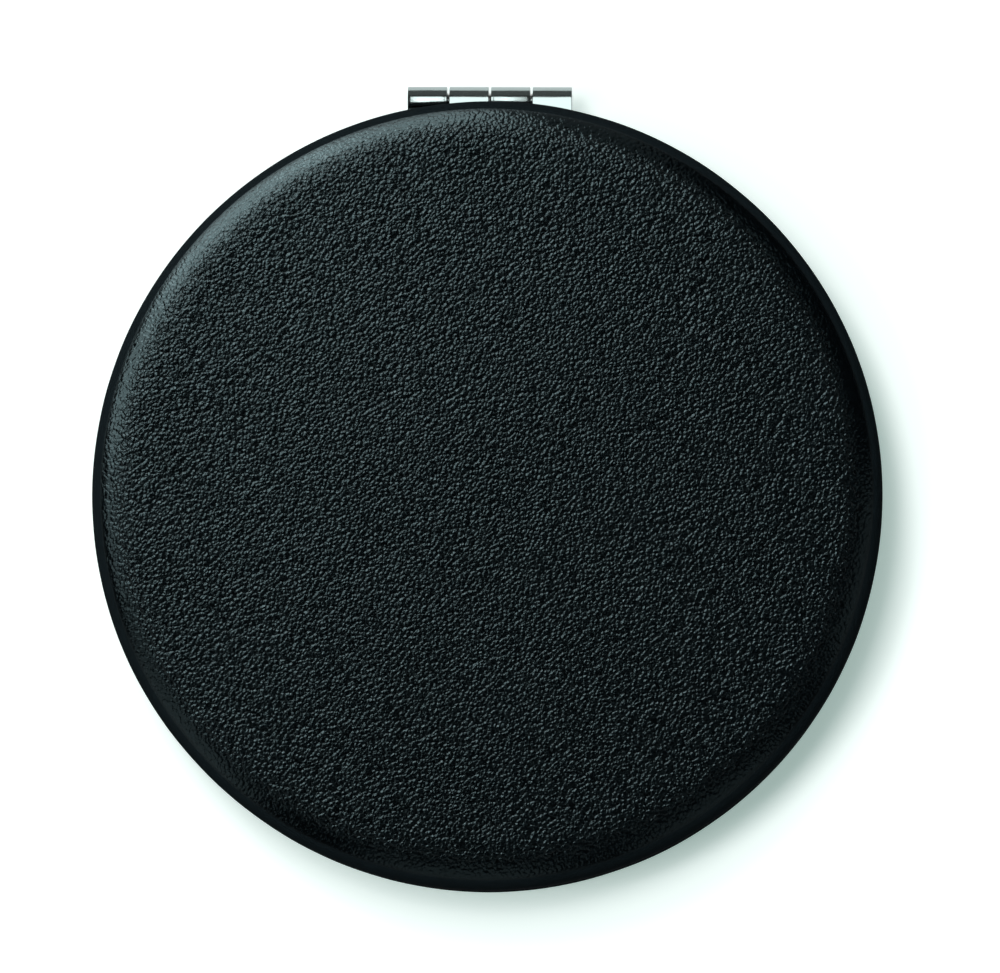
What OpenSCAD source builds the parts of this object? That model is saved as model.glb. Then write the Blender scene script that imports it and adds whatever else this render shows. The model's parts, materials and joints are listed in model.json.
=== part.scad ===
// Round compact mirror: two padded, leather-covered halves on a four-knuckle hinge.
// Millimetres, +Z up. The origin is the centre of the face that the closed case lies on,
// and +Y points to the hinge. Each half is drawn as the base half, with its outer face at
// z = 0, and the lid half is the same drawing turned over at the parting plane.

/* [Case] */
// Outer diameter of the case
case_d = 70; // [60:0.5:90]
// Height of the closed case
case_h = 12; // [11.5:0.1:16]
// Gap between the two frame rings when the case is closed
parting_gap = 0.3; // [0.2:0.05:0.6]

/* [Leather cover] */
// Thickness of the leather
cover_t = 0.8; // [0.6:0.05:0.9]
// Radius of the tight bend that turns into the side wall, over the height of the padding
side_ratio = 1.05; // [0.9:0.05:1.4]
// Radius of the wide bend round the padded face, over the height of the padding
shoulder_ratio = 2.85; // [2.4:0.05:3.8]
// Slope at which the wide bend meets the tight one
shoulder_a = 35; // [25:1:42]
// How far the folded edge lies below the frame ring's face
fold_drop = 0.25; // [0.1:0.05:0.4]
// Gap between the turned-in edge and the tray's floor
hem_gap = 0.2; // [0.1:0.05:0.5]

/* [Tray and board] */
// Thickness of the pressed tray
tray_t = 0.5; // [0.35:0.05:0.6]
// Thickness of the backing board
board_t = 1.2; // [1:0.1:1.4]
// Gap round the backing board
board_gap = 0.1; // [0.05:0.05:0.3]

/* [Mirrors] */
// Thickness of each mirror at its edge
mirror_t = 1.4; // [1:0.1:1.6]
// Depth of the hollow in the magnifying mirror
mirror_sag = 0.7; // [0.3:0.05:0.9]
// Thickness of the adhesive sheet under a mirror
tape_t = 0.2; // [0.1:0.05:0.4]
// How far the adhesive sheet stops short of the mirror's edge
tape_inset = 1; // [0.5:0.1:3]
// Gap between a mirror's face and the lip over it
lip_gap = 0.15; // [0.05:0.05:0.3]

/* [Frame rings] */
// Thickness of the ring's metal
frame_t = 0.3; // [0.2:0.05:0.4]
// How far the lip reaches over the mirror
lip_w = 0.8; // [0.4:0.1:2]
// Radius of the lip's rounded edge
lip_edge_r = 0.08; // [0.05:0.01:0.09]

/* [Magnets] */
// Length of a bar magnet
magnet_l = 8; // [5:0.5:12]
// Width of a bar magnet
magnet_w = 1.8; // [1:0.1:2.5]
// Gap between a magnet and the mirror, the ring's skirt or its lip
magnet_gap = 0.25; // [0.1:0.05:0.5]

/* [Hinge] */
// Width across all the knuckles
hinge_w = 14.6; // [10:0.2:20]
// Number of knuckles, shared between the two leaves
knuckle_count = 4; // [2:2:6]
// Gap between neighbouring knuckles
knuckle_gap = 0.22; // [0.1:0.02:0.3]
// How far the pin's axis lies outside the case
axis_out = 0.4; // [0.1:0.05:0.6]
// Diameter of the pin
pin_d = 1.25; // [1:0.05:1.5]
// Clearance between the pin and a knuckle's bore, on the radius
pin_gap = 0.03; // [0.02:0.01:0.08]
// Thickness of a hinge leaf
leaf_t = 0.55; // [0.4:0.05:0.65]
// Depth of a leaf, from the pin's axis inwards
leaf_l = 9.2; // [8.5:0.1:12]
// Slit between a leaf and the end of its rolled knuckle
curl_slit = 0.12; // [0.06:0.02:0.2]
// Bevel at the ends of the knuckles and the pin
knuckle_bevel = 0.12; // [0.05:0.01:0.2]
// Distance from the mirror's edge to the crank in a leaf
crank_gap = 0.5; // [0.3:0.05:0.8]
// Clearance round the barrel in the covers
barrel_gap = 0.25; // [0.15:0.05:0.4]
// Clearance below and beside a leaf where it leaves the case
slot_gap = 0.1; // [0.05:0.05:0.3]

/* [Rivets] */
// Diameter of a rivet's shank
rivet_d = 1.5; // [1:0.1:1.8]
// Diameter of a rivet's flush heads
rivet_head_d = 2.6; // [2.2:0.1:3]
// Depth of a rivet's flush heads
rivet_head_h = 0.3; // [0.2:0.05:0.35]
// Distance between the two rivets of a leaf
rivet_pitch = 9; // [5:0.5:10]
// Distance from the rivets to the leaf's inner edge
rivet_inset = 2.5; // [2:0.1:3]

/* [Hidden] */

// How far a cut runs past the face it opens
overrun = 0.5;
// Steps along each bend of an outline
arc_steps = 10;
// Facets of a round edge in a preview
$fn = 96;

// Heights in a half, from its outer face
parting_z = case_h / 2;
face_z = parting_z - parting_gap / 2;
lip_z = face_z - frame_t;
fold_z = face_z - fold_drop;
rim_z = fold_z - cover_t;
mirror_z = lip_z - lip_gap;
tape_z = mirror_z - mirror_t;
board_z = tape_z - tape_t;
floor_z = board_z - board_t;
pad_z = floor_z - tray_t;
magnet_h = lip_z - board_z - magnet_gap;
rivet_l = board_z - pad_z;
hem_z = floor_z + hem_gap;

// Bends of the cover's outer face
case_r = case_d / 2;
side_r = side_ratio * pad_z;
shoulder_r = shoulder_ratio * pad_z;
side_c = case_r - side_r;
shoulder_c = side_c + (side_r - shoulder_r) * sin(shoulder_a);
wall_z = shoulder_r + (side_r - shoulder_r) * cos(shoulder_a);

// Radii in a half, from the side wall inwards
tray_r = case_r - cover_t;
tray_in_r = tray_r - tray_t;
hem_r = tray_in_r - cover_t;
board_r = hem_r - board_gap;
skirt_r = hem_r - frame_t;
magnet_y = sqrt(pow(skirt_r - magnet_gap, 2) - pow(magnet_l / 2, 2));
mirror_r = magnet_y - magnet_w - magnet_gap;
lip_r = mirror_r - lip_w;
tape_r = mirror_r - tape_inset;
mirror_curve_r = (pow(mirror_r, 2) + pow(mirror_sag, 2)) / (2 * mirror_sag);

// Hinge
axis_y = case_r + axis_out;
bore_r = pin_d / 2 + pin_gap;
knuckle_r = bore_r + leaf_t;
barrel_r = knuckle_r + barrel_gap;
knuckle_pitch = (hinge_w + knuckle_gap) / knuckle_count;
knuckle_w = knuckle_pitch - knuckle_gap;
leaf_z = board_z - leaf_t;
tab_z = parting_z - knuckle_r;
crank_y = mirror_r + crank_gap;
tab_y = axis_y - barrel_r;
rivet_y = axis_y - leaf_l + rivet_inset;

function arc(centre, r, from, to) = [
    for (i = [0:arc_steps])
        let (a = from + (to - from) * i / arc_steps)
        centre + r * [cos(a), sin(a)]
];

function reversed(points) = [for (i = [len(points) - 1:-1:0]) points[i]];

// The outer face of a half, moved inwards by inset: from the middle of the flat face,
// round the wide and the tight bend, to the foot of the side wall.
function face_line(inset) = concat(
    [[0, inset]],
    arc([shoulder_c, shoulder_r], shoulder_r - inset, -90, shoulder_a - 90),
    arc([side_c, wall_z], side_r - inset, shoulder_a - 90, 0)
);

// Cross-section of a leaf's plate, cranked up from the board to the barrel.
// A drop moves its lower side down, and a rise moves its upper side up.
function plate_line(from, to, drop = 0, rise = 0) =
    let (climb = tab_z - leaf_z, lead = leaf_t * tan(22.5))
    [
        [from, leaf_z - drop],
        [crank_y, leaf_z - drop],
        [crank_y + climb, tab_z - drop],
        [to, tab_z - drop],
        [to, tab_z + leaf_t + rise],
        [crank_y + climb - lead, tab_z + leaf_t + rise],
        [crank_y - lead, leaf_z + leaf_t + rise],
        [from, leaf_z + leaf_t + rise],
    ];

// Turns a base half over into the lid half
module as_lid() {
    translate([0, 0, case_h]) mirror([0, 0, 1]) children();
}

// Extrudes a cross-section drawn in Y and Z, centred on X
module across(width) {
    rotate([90, 0, 90]) linear_extrude(height = width, center = true) children();
}

// The space inside the cover's outer face, moved inwards by inset, between two heights
module layer(inset, bottom, top) {
    intersection() {
        rotate_extrude() polygon(concat(face_line(inset), [[case_r - inset, case_h], [0, case_h]]));
        translate([0, 0, bottom]) cylinder(r = case_r, h = top - bottom);
    }
}

// The slot through which a leaf leaves the case, open upwards
module hinge_slot() {
    across(hinge_w + 2 * slot_gap)
        polygon(plate_line(crank_y - overrun, axis_y + knuckle_r, slot_gap, case_h));
}

// Half outline of a rivet, from the rim of its lower head to that of its upper one
function rivet_line() = [
    [rivet_head_d / 2, 0],
    [rivet_d / 2, rivet_head_h],
    [rivet_d / 2, rivet_l - rivet_head_h],
    [rivet_head_d / 2, rivet_l],
];

module at_rivets() {
    for (side = [-1, 1]) translate([side * rivet_pitch / 2, rivet_y, pad_z]) children();
}

module rivets() {
    color("silver") at_rivets()
        rotate_extrude() polygon(concat([[0, 0]], rivet_line(), [[0, rivet_l]]));
}

// Holes for the rivets, open past both heads
module rivet_holes() {
    at_rivets() rotate_extrude() polygon(concat(
        [[0, -overrun], [rivet_head_d / 2, -overrun]],
        rivet_line(),
        [[rivet_head_d / 2, rivet_l + overrun], [0, rivet_l + overrun]]
    ));
}

// Leather skin: over the face, up the side, round the tray's rim and down inside it
module cover() {
    color([0.09, 0.12, 0.125]) difference() {
        rotate_extrude() polygon(concat(
            face_line(0),
            arc([tray_r, rim_z], cover_t, 0, 90),
            arc([tray_in_r, rim_z], cover_t, 90, 180),
            [[hem_r, hem_z], [tray_in_r, hem_z], [tray_in_r, rim_z], [tray_r, rim_z]],
            reversed(face_line(cover_t))
        ));
        hinge_slot();
        translate([0, axis_y, parting_z]) rotate([0, 90, 0])
            cylinder(r = barrel_r, h = hinge_w + 2 * slot_gap, center = true);
    }
}

module padding() {
    color("dimgray") layer(cover_t, cover_t, pad_z);
}

module tray() {
    color("lightsteelblue") difference() {
        layer(cover_t, pad_z, rim_z);
        translate([0, 0, floor_z]) cylinder(r = tray_in_r, h = rim_z - floor_z + overrun);
        hinge_slot();
        rivet_holes();
    }
}

// Backing board, let in for the leaf that lies on it
module board() {
    color("tan") difference() {
        translate([0, 0, floor_z]) cylinder(r = board_r, h = board_t);
        translate([0, axis_y - leaf_l / 2 + overrun, leaf_z + leaf_t])
            cube([hinge_w + 2 * slot_gap, leaf_l + 2 * overrun, 2 * leaf_t], center = true);
        rivet_holes();
    }
}

module magnet() {
    color("slategray") translate([-magnet_l / 2, -magnet_y, board_z])
        cube([magnet_l, magnet_w, magnet_h]);
}

module mirror_tape() {
    color("white") translate([0, 0, board_z]) cylinder(r = tape_r, h = tape_t);
}

module plain_mirror() {
    color("powderblue") translate([0, 0, tape_z]) cylinder(r = mirror_r, h = mirror_t);
}

// The face is part of a sphere, hollow by mirror_sag at its middle
module magnifying_mirror() {
    half_angle = asin(mirror_r / mirror_curve_r);
    color("powderblue") rotate_extrude() polygon(concat(
        [[0, tape_z], [mirror_r, tape_z]],
        arc([0, mirror_z - mirror_sag + mirror_curve_r], mirror_curve_r, half_angle - 90, -90)
    ));
}

// A ring of bent strip: its lip holds the mirror, and its skirt clamps the turned-in leather
module frame_ring() {
    color("gainsboro") {
        rotate_extrude() polygon(concat(
            arc([lip_r + lip_edge_r, lip_z + lip_edge_r], lip_edge_r, -90, -180),
            arc([lip_r + lip_edge_r, face_z - lip_edge_r], lip_edge_r, 180, 90),
            arc([skirt_r, lip_z], frame_t, 90, 0)
        ));
        difference() {
            translate([0, 0, board_z]) cylinder(r = hem_r, h = lip_z - board_z);
            translate([0, 0, board_z - overrun]) cylinder(r = skirt_r, h = lip_z - board_z + 2 * overrun);
            hinge_slot();
        }
    }
}

module bevelled_rod(r, length, bevel) {
    cylinder(r1 = r - bevel, r2 = r, h = bevel);
    translate([0, 0, bevel]) cylinder(r = r, h = length - 2 * bevel);
    translate([0, 0, length - bevel]) cylinder(r1 = r, r2 = r - bevel, h = bevel);
}

// A rod along X on the hinge's axis, from a given place
module on_axis(from, r, length, bevel) {
    translate([from, axis_y, parting_z]) rotate([0, 90, 0]) bevelled_rod(r, length, bevel);
}

// A leaf carries every second knuckle, beginning with the one numbered first
module hinge_leaf(first) {
    color("silver") difference() {
        union() {
            across(hinge_w) polygon(plate_line(axis_y - leaf_l, tab_y));
            for (i = [first:2:knuckle_count - 1]) {
                start = i * knuckle_pitch - hinge_w / 2;
                translate([start, tab_y - overrun, tab_z])
                    cube([knuckle_w, axis_y - tab_y + overrun, leaf_t]);
                on_axis(start, knuckle_r, knuckle_w, knuckle_bevel);
            }
        }
        translate([0, axis_y, parting_z]) rotate([0, 90, 0])
            cylinder(r = bore_r, h = hinge_w + 2 * overrun, center = true);
        translate([-hinge_w / 2 - overrun, axis_y - barrel_r, tab_z + leaf_t])
            cube([hinge_w + 2 * overrun, barrel_r - bore_r / 2, curl_slit]);
        rivet_holes();
    }
}

module hinge_pin() {
    color("lightgray") on_axis(-hinge_w / 2, pin_d / 2, hinge_w, knuckle_bevel);
}

cover();  // base_cover
padding();  // base_padding
tray();  // base_tray
board();  // base_board
hinge_leaf(0);  // base_hinge_leaf
rivets();  // base_rivets
magnet();  // base_magnet
mirror_tape();  // base_mirror_tape
magnifying_mirror();  // base_mirror
frame_ring();  // base_frame_ring
hinge_pin();
as_lid() cover();  // lid_cover
as_lid() padding();  // lid_padding
as_lid() tray();  // lid_tray
as_lid() board();  // lid_board
as_lid() hinge_leaf(1);  // lid_hinge_leaf
as_lid() rivets();  // lid_rivets
as_lid() magnet();  // lid_magnet
as_lid() mirror_tape();  // lid_mirror_tape
as_lid() plain_mirror();  // lid_mirror
as_lid() frame_ring();  // lid_frame_ring
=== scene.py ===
"""The looks of a round leather compact mirror, closed, with its hinge at the back."""

import json
import math
import bmesh
import bpy
from bpy.props import (
    FloatProperty,
    FloatVectorProperty,
    IntProperty,
    PointerProperty,
)
from bpy.types import Operator, Panel, PropertyGroup
from mathutils import Matrix, Vector, noise

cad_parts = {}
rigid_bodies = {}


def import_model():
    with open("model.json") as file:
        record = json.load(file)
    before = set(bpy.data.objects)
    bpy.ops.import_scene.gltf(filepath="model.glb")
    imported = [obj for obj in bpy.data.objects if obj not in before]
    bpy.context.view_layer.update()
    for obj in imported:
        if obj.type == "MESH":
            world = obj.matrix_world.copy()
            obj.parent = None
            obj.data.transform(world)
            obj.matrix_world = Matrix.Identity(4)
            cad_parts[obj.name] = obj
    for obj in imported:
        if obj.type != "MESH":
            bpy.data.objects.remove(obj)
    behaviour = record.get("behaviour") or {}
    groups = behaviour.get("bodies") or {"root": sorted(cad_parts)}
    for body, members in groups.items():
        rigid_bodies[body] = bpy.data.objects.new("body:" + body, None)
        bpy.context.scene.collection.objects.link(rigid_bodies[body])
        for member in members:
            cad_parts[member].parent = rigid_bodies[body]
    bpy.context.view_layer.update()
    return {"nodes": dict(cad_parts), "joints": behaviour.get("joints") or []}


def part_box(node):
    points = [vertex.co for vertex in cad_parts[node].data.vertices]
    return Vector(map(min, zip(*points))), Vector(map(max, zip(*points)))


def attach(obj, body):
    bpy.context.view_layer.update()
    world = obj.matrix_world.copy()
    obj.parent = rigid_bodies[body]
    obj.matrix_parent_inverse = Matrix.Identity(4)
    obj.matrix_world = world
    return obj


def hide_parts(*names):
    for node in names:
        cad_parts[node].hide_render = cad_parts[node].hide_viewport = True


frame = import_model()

bl_info = {
    "name": "Compact mirror",
    "version": (1, 0, 0),
    "blender": (4, 5, 0),
    "location": "3D View > Sidebar > Compact",
    "description": "Models and finishes a round leather compact mirror",
    "category": "Object",
}

HALVES = ("base", "lid")
HINGE = frame["joints"][0]
AXIS = Vector(HINGE["pos_m"])
COVER_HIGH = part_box("lid_cover")[1]
CASE_R = COVER_HIGH.x
CASE_H = COVER_HIGH.z
LEAF_LOW, LEAF_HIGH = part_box("base_hinge_leaf")
KNUCKLE_R = LEAF_HIGH.z - AXIS.z
HINGE_W = LEAF_HIGH.x - LEAF_LOW.x
RING_LOW, RING_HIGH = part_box("base_frame_ring")
RING_R = RING_HIGH.x
GLASS_LOW, GLASS_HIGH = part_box("base_mirror")
MIRROR_R = GLASS_HIGH.x
PAD_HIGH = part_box("base_padding")[1]
PIN_LOW, PIN_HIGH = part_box("hinge_pin")
RIVET_LOW, RIVET_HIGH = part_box("base_rivets")
RIM_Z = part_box("base_tray")[1].z
FLOOR_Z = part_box("base_board")[0].z

# Points nearer than this are one point, and places nearer than the second are one place.
SAME_POINT = 1e-8
SAME_PLACE = 1e-6


class CompactSizes(PropertyGroup):
    leather_t: FloatProperty(
        name="Leather",
        description="Thickness of the leather skin",
        default=0.0008,
        unit="LENGTH",
    )
    side_ratio: FloatProperty(
        name="Side bend",
        description="Radius of the bend that turns into the side wall, over the padding's height",
        default=1.05,
    )
    shoulder_ratio: FloatProperty(
        name="Shoulder bend",
        description="Radius of the bend round the padded face, over the padding's height",
        default=2.85,
    )
    shoulder_a: FloatProperty(
        name="Shoulder slope",
        description="Slope at which the wide bend meets the tight one",
        default=math.radians(35),
        subtype="ANGLE",
    )
    hem_gap: FloatProperty(
        name="Hem gap",
        description="Gap between the turned-in leather's edge and the tray's floor",
        default=0.0002,
        unit="LENGTH",
    )
    tray_t: FloatProperty(
        name="Tray",
        description="Thickness of the tray's metal, which the leather is folded round",
        default=0.0005,
        unit="LENGTH",
    )
    crown: FloatProperty(
        name="Crown",
        description="How far the padding lifts the middle of the lid's face",
        default=0.0002,
        unit="LENGTH",
    )
    unevenness: FloatProperty(
        name="Unevenness",
        description="How far the padded leather wanders in and out",
        default=0.00003,
        unit="LENGTH",
    )
    pleat_depth: FloatProperty(
        name="Pleats",
        description="Depth of the gathers where the leather turns in",
        default=0.00009,
        unit="LENGTH",
    )
    pleats: IntProperty(
        name="Pleat count",
        description="Number of gathers round the turned-in edge",
        default=96,
    )
    leaf_t: FloatProperty(
        name="Hinge leaf",
        description="Thickness of the hinge's sheet metal",
        default=0.00055,
        unit="LENGTH",
    )
    knuckle_gap: FloatProperty(
        name="Knuckle gap",
        description="Gap between neighbouring knuckles",
        default=0.00022,
        unit="LENGTH",
    )
    knuckle_edge: FloatProperty(
        name="Knuckle edge",
        description="Width of the rounded edges of the hinge leaves",
        default=0.00018,
        unit="LENGTH",
    )
    knuckles: IntProperty(
        name="Knuckles",
        description="Number of knuckles, shared between the two leaves",
        default=4,
    )
    crank_gap: FloatProperty(
        name="Crank",
        description="Distance from the mirror's edge to the crank in a leaf",
        default=0.0005,
        unit="LENGTH",
    )
    barrel_gap: FloatProperty(
        name="Barrel recess",
        description="Clearance round the barrel in the leather",
        default=0.00025,
        unit="LENGTH",
    )
    slot_gap: FloatProperty(
        name="Leaf slot",
        description="Clearance below and beside a leaf where it leaves the case",
        default=0.0001,
        unit="LENGTH",
    )
    ring_t: FloatProperty(
        name="Ring",
        description="Thickness of the frame ring's metal",
        default=0.0003,
        unit="LENGTH",
    )
    lip_w: FloatProperty(
        name="Lip",
        description="How far the ring's lip reaches over the mirror",
        default=0.0008,
        unit="LENGTH",
    )
    mirror_sag: FloatProperty(
        name="Mirror hollow",
        description="Depth of the hollow in the magnifying mirror",
        default=0.0007,
        unit="LENGTH",
    )
    rivet_d: FloatProperty(
        name="Rivet shank",
        description="Diameter of a rivet's shank",
        default=0.0015,
        unit="LENGTH",
    )
    rivet_head_d: FloatProperty(
        name="Rivet head",
        description="Diameter of a rivet's flush heads",
        default=0.0026,
        unit="LENGTH",
    )
    rivet_head_h: FloatProperty(
        name="Rivet head depth",
        description="Depth of a rivet's flush heads",
        default=0.0003,
        unit="LENGTH",
    )


class CompactFinish(PropertyGroup):
    leather: FloatVectorProperty(
        name="Leather",
        description="Colour of the grained leather on the faces",
        default=(0.0005, 0.0009, 0.0012),
        subtype="COLOR",
        size=3,
    )
    # The matt side's colour is lighter than the face's: a painted sheen on the side wall.
    side_leather_painted_sheen: FloatVectorProperty(
        name="Smooth leather",
        description="Colour of the leather where its side is rubbed matt",
        default=(0.0038, 0.0063, 0.0074),
        subtype="COLOR",
        size=3,
    )
    gloss: FloatVectorProperty(
        name="Leather gloss",
        description="Tint of the leather's gloss",
        default=(0.62, 0.95, 1.0),
        subtype="COLOR",
        size=3,
    )
    leather_rough: FloatProperty(
        name="Leather roughness",
        description="Roughness of the leather's gloss between its bumps",
        default=0.115,
    )
    leather_level: FloatProperty(
        name="Leather gloss level",
        description="Strength of the leather's gloss",
        default=0.1,
    )
    bend_band: FloatProperty(
        name="Bend band",
        description="Half the width over which the grain goes where the tight bend begins",
        default=0.0003,
        unit="LENGTH",
    )
    gloss_band: FloatProperty(
        name="Gloss band",
        description="Distance past the start of the tight bend at which the gloss is softest",
        default=0.0004,
        unit="LENGTH",
    )
    bend_rough: FloatProperty(
        name="Bend roughness",
        description="Roughness that the leather's gloss gains on the bend round the face",
        default=0.4,
    )
    # Where the matt side leather, with its painted sheen, begins: from this slope, and in a band
    # round the parting.
    painted_sheen_slope: FloatProperty(
        name="Rubbed side",
        description="Slope from which the leather's side is rubbed matt",
        default=math.radians(39),
        subtype="ANGLE",
    )
    painted_sheen_band: FloatProperty(
        name="Rubbed band",
        description="Height above and below the parting over which the leather is matt",
        default=0.003,
        unit="LENGTH",
    )
    grain_pitch: FloatProperty(
        name="Grain pitch",
        description="Distance between the bumps of the leather's grain",
        default=0.00032,
        unit="LENGTH",
    )
    grain_depth: FloatProperty(
        name="Grain depth",
        description="Height of the bumps of the leather's grain",
        default=0.00013,
        unit="LENGTH",
    )
    grain_fine: FloatProperty(
        name="Fine grain",
        description="Height of the fine unevenness over that of a bump",
        default=0.5,
    )
    fine_scale: FloatProperty(
        name="Fine grain scale",
        description="Grain pitch over the pitch of the fine unevenness",
        default=1.9,
    )
    fine_detail: FloatProperty(
        name="Fine grain detail",
        description="How much finer unevenness is laid over the fine grain",
        default=1.2,
    )
    shoulder_grain: FloatProperty(
        name="Grain at the shoulder",
        description="Share of the grain's height that is left where the leather is stretched",
        default=0.2,
    )
    bend_grain: FloatProperty(
        name="Grain at the bend",
        description="Share of the grain at the shoulder that is left on the tight bend",
        default=0.15,
    )
    grain_end: FloatProperty(
        name="Grain end",
        description="Distance from the tight bend at which the grain has flattened",
        default=0.0006,
        unit="LENGTH",
    )
    grain_fade: FloatProperty(
        name="Grain fade",
        description="Width of the band round the face in which the grain flattens",
        default=0.0016,
        unit="LENGTH",
    )
    grain_turn: FloatProperty(
        name="Grain direction",
        description="Direction along which the grain's bumps are drawn out",
        default=math.radians(32),
        subtype="ANGLE",
    )
    grain_stretch: FloatProperty(
        name="Grain stretch",
        description="Length of a grain bump over its width",
        default=1.05,
    )
    metal: FloatVectorProperty(
        name="Polished metal",
        description="Colour of the hinge and the frame rings",
        default=(0.46, 0.56, 0.55),
        subtype="COLOR",
        size=3,
    )


def bends(sizes):
    """Radii of the tight and the wide bend round a half's outer face."""
    return sizes.side_ratio * PAD_HIGH.z, sizes.shoulder_ratio * PAD_HIGH.z


def edge_radius(sizes):
    """Radius, from the case's middle, at which the wide bend meets the tight one."""
    return CASE_R - bends(sizes)[0] * (1 - math.sin(sizes.shoulder_a))


def face_line(sizes, inset, flat_steps, bend_steps):
    """Points (r, z, normal r, normal z) along a half's outer face, moved inwards by inset."""
    slope = sizes.shoulder_a
    side_r, shoulder_r = bends(sizes)
    side_c = CASE_R - side_r
    shoulder_c = side_c + (side_r - shoulder_r) * math.sin(slope)
    wall_z = shoulder_r + (side_r - shoulder_r) * math.cos(slope)
    points = [(shoulder_c * i / flat_steps, inset, 0, -1) for i in range(flat_steps)]
    arcs = (
        (shoulder_c, shoulder_r, shoulder_r - inset, 0, slope),
        (side_c, wall_z, side_r - inset, slope, math.pi / 2),
    )
    for centre_r, centre_z, radius, start, end in arcs:
        for i in range(bend_steps + 1):
            a = start + (end - start) * i / bend_steps
            if i or not start:
                r = centre_r + radius * math.sin(a)
                z = centre_z - radius * math.cos(a)
                points.append((r, z, math.sin(a), -math.cos(a)))
    return points


def fold_line(sizes, rim_z, steps):
    """Points round the tray's rim, where the leather folds over and turns in."""
    tray_r = CASE_R - sizes.leather_t
    points = []
    for centre_r, start in ((tray_r, 0), (tray_r - sizes.tray_t, math.pi / 2)):
        for i in range(steps + 1):
            a = start + math.pi / 2 * i / steps
            r = centre_r + sizes.leather_t * math.cos(a)
            z = rim_z + sizes.leather_t * math.sin(a)
            points.append((r, z, math.cos(a), math.sin(a)))
    return points


def revolved(name, section, steps, shift=None):
    """A closed mesh: section is a list of points (r, z, ...) whose ends lie on the axis, or a
    closed loop clear of it. shift(point, angle) may move each point."""
    vertices, rings = [], []
    for point in section:
        first = len(vertices)
        turns = steps if point[0] > SAME_POINT else 1
        for i in range(turns):
            angle = 2 * math.pi * i / steps
            r, z = shift(point, angle) if shift else point[:2]
            vertices.append((r * math.cos(angle), r * math.sin(angle), z))
        rings.append((first, turns))
    faces = []
    for k, (low, low_turns) in enumerate(rings):
        high, high_turns = rings[(k + 1) % len(rings)]
        if low_turns == 1 and high_turns == 1:
            continue
        for i in range(steps):
            j = (i + 1) % steps
            if low_turns == 1:
                faces.append((low, high + i, high + j))
            elif high_turns == 1:
                faces.append((low + i, low + j, high))
            else:
                faces.append((low + i, low + j, high + j, high + i))
    mesh = bpy.data.meshes.new(name)
    mesh.from_pydata(vertices, [], faces)
    return outward(mesh)


def outward(mesh):
    """Merges doubled points and turns all faces outwards."""
    cleaned = bmesh.new()
    cleaned.from_mesh(mesh)
    bmesh.ops.remove_doubles(cleaned, verts=cleaned.verts, dist=SAME_POINT)
    bmesh.ops.recalc_face_normals(cleaned, faces=cleaned.faces)
    cleaned.to_mesh(mesh)
    cleaned.free()
    return mesh


def turned_over(mesh):
    """Turns a base half's mesh over into the lid half."""
    mesh.transform(Matrix.Translation((0, 0, CASE_H)) @ Matrix.Scale(-1, 4, (0, 0, 1)))
    mesh.flip_normals()


def linked(name, mesh):
    piece = bpy.data.objects.new(name, mesh)
    bpy.context.scene.collection.objects.link(piece)
    return piece


def settled(piece):
    """Turns a piece and its modifiers into a plain mesh."""
    bpy.context.view_layer.update()
    evaluated = piece.evaluated_get(bpy.context.evaluated_depsgraph_get())
    mesh = bpy.data.meshes.new_from_object(evaluated)
    piece.modifiers.clear()
    piece.data = mesh


def carved(piece, cutters):
    """Cuts the cutters' meshes out of a piece."""
    tools = [linked("cutter", mesh) for mesh in cutters]
    for tool in tools:
        cut = piece.modifiers.new("cut", "BOOLEAN")
        cut.operation = "DIFFERENCE"
        cut.solver = "EXACT"
        cut.object = tool
    settled(piece)
    for tool in tools:
        bpy.data.objects.remove(tool)


def smooth(piece, degrees=30):
    piece.data.shade_smooth()
    piece.data.set_sharp_from_angle(angle=math.radians(degrees))


def finished(piece, half, material, slot, *nodes):
    """Gives a piece its material and its body, and hides the nodes that it stands for."""
    piece.data.materials.clear()
    piece.data.materials.append(material)
    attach(piece, half)
    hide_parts(*nodes)


def across(name, outline, width):
    """Extrudes an outline of (y, z) points along X, centred."""
    count = len(outline)
    vertices = [(side * width / 2, y, z) for side in (-1, 1) for y, z in outline]
    faces = [tuple(range(count)), tuple(range(count, 2 * count))]
    for i in range(count):
        j = (i + 1) % count
        faces.append((i, j, count + j, count + i))
    mesh = bpy.data.meshes.new(name)
    mesh.from_pydata(vertices, [], faces)
    return outward(mesh)


def along_axis(mesh):
    """Lays a mesh made round Z on the hinge's axis."""
    mesh.transform(Matrix.Translation(AXIS) @ Matrix.Rotation(math.pi / 2, 4, "Y"))
    return mesh


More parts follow.
